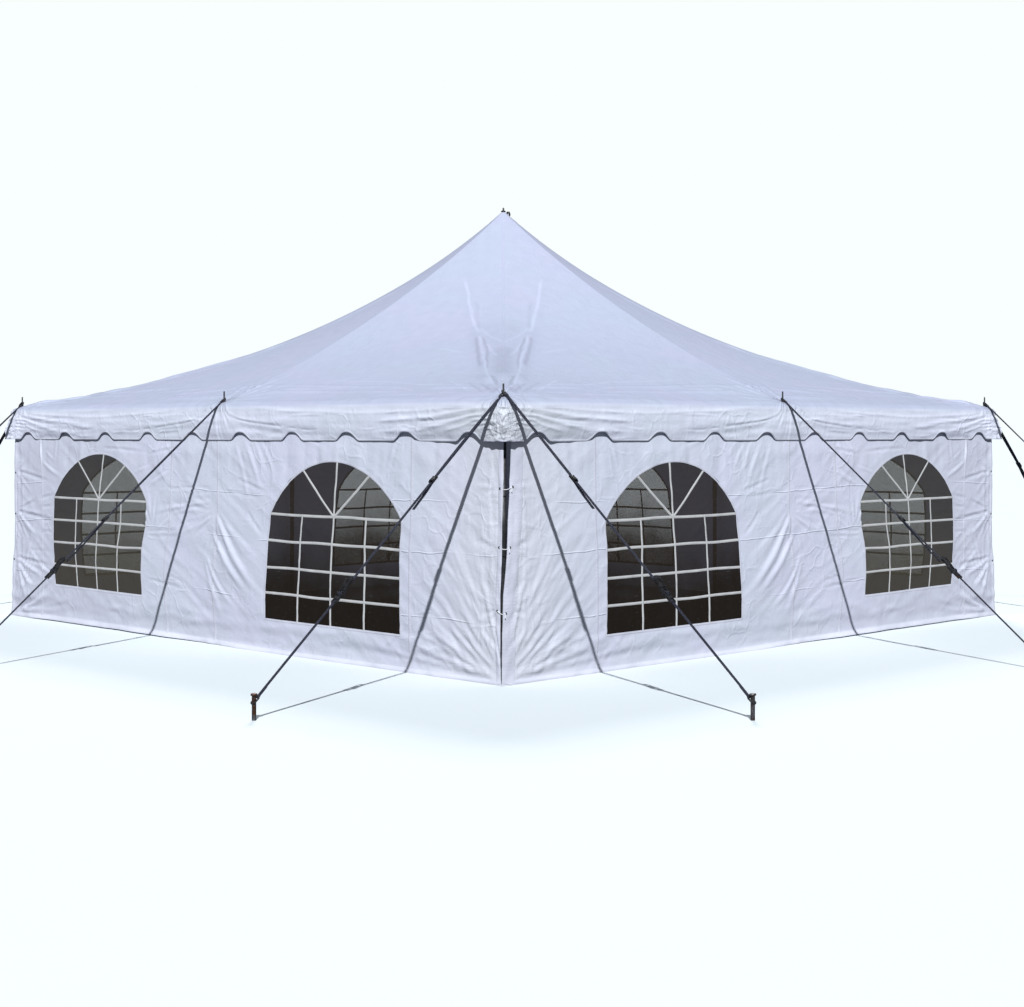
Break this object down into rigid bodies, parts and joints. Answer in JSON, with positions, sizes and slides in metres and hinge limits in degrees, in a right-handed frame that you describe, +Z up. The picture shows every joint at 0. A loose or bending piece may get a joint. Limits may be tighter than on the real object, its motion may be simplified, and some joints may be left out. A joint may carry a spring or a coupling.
{
  "type": "marquee tent",
  "caption": "Square white pole tent with a swept peaked canopy, scalloped valance, walls with arched film windows, steel poles, ratchet guy straps and stakes.",
  "frame": {"origin": "on the ground, directly under the peak, at the middle of the square plan", "axes": "+Z up; the front wall faces -Y and the right wall faces +X"},
  "size_m": [10.1316, 10.1316, 3.56],
  "materials": {
    "roof_vinyl": "white vinyl-coated polyester, satin, lightly creased",
    "valance_vinyl": "white vinyl-coated polyester with a bound lower edge",
    "wall_vinyl": "white vinyl-coated polyester with packing creases and sewn seams",
    "window_film": "clear vinyl film, smoky, lightly rippled",
    "galvanised_tube": "galvanised steel tube, dull",
    "strap_webbing": "black polyester webbing, woven",
    "stake_steel": "dark steel, scuffed at the head",
    "window_bar": "white vinyl tape welded to the film",
    "tie_cord": "white braided cord",
    "grommet_metal": "dull nickel-plated brass",
    "ratchet_steel": "black zinc-plated steel"
  },
  "bodies": {
    "root": {"canopy": "roof_vinyl", "front_valance": "valance_vinyl", "right_valance": "valance_vinyl", "back_valance": "valance_vinyl", "left_valance": "valance_vinyl", "front_wall": "wall_vinyl", "right_wall": "wall_vinyl", "back_wall": "wall_vinyl", "left_wall": "wall_vinyl", "front_window_left": "window_film", "front_window_right": "window_film", "right_window_left": "window_film", "right_window_right": "window_film", "back_window_left": "window_film", "back_window_right": "window_film", "left_window_left": "window_film", "left_window_right": "window_film", "centre_pole": "galvanised_tube", "front_pole": "galvanised_tube", "right_pole": "galvanised_tube", "back_pole": "galvanised_tube", "left_pole": "galvanised_tube", "front_right_pole": "galvanised_tube", "back_right_pole": "galvanised_tube", "back_left_pole": "galvanised_tube", "front_left_pole": "galvanised_tube", "front_strap": "strap_webbing", "right_strap": "strap_webbing", "back_strap": "strap_webbing", "left_strap": "strap_webbing", "front_right_strap_front": "strap_webbing", "front_right_strap_right": "strap_webbing", "back_right_strap_back": "strap_webbing", "back_right_strap_right": "strap_webbing", "back_left_strap_back": "strap_webbing", "back_left_strap_left": "strap_webbing", "front_left_strap_front": "strap_webbing", "front_left_strap_left": "strap_webbing", "front_stake": "stake_steel", "right_stake": "stake_steel", "back_stake": "stake_steel", "left_stake": "stake_steel", "front_right_stake_front": "stake_steel", "front_right_stake_right": "stake_steel", "back_right_stake_back": "stake_steel", "back_right_stake_right": "stake_steel", "back_left_stake_back": "stake_steel", "back_left_stake_left": "stake_steel", "front_left_stake_front": "stake_steel", "front_left_stake_left": "stake_steel"}
  },
  "joints": []
}
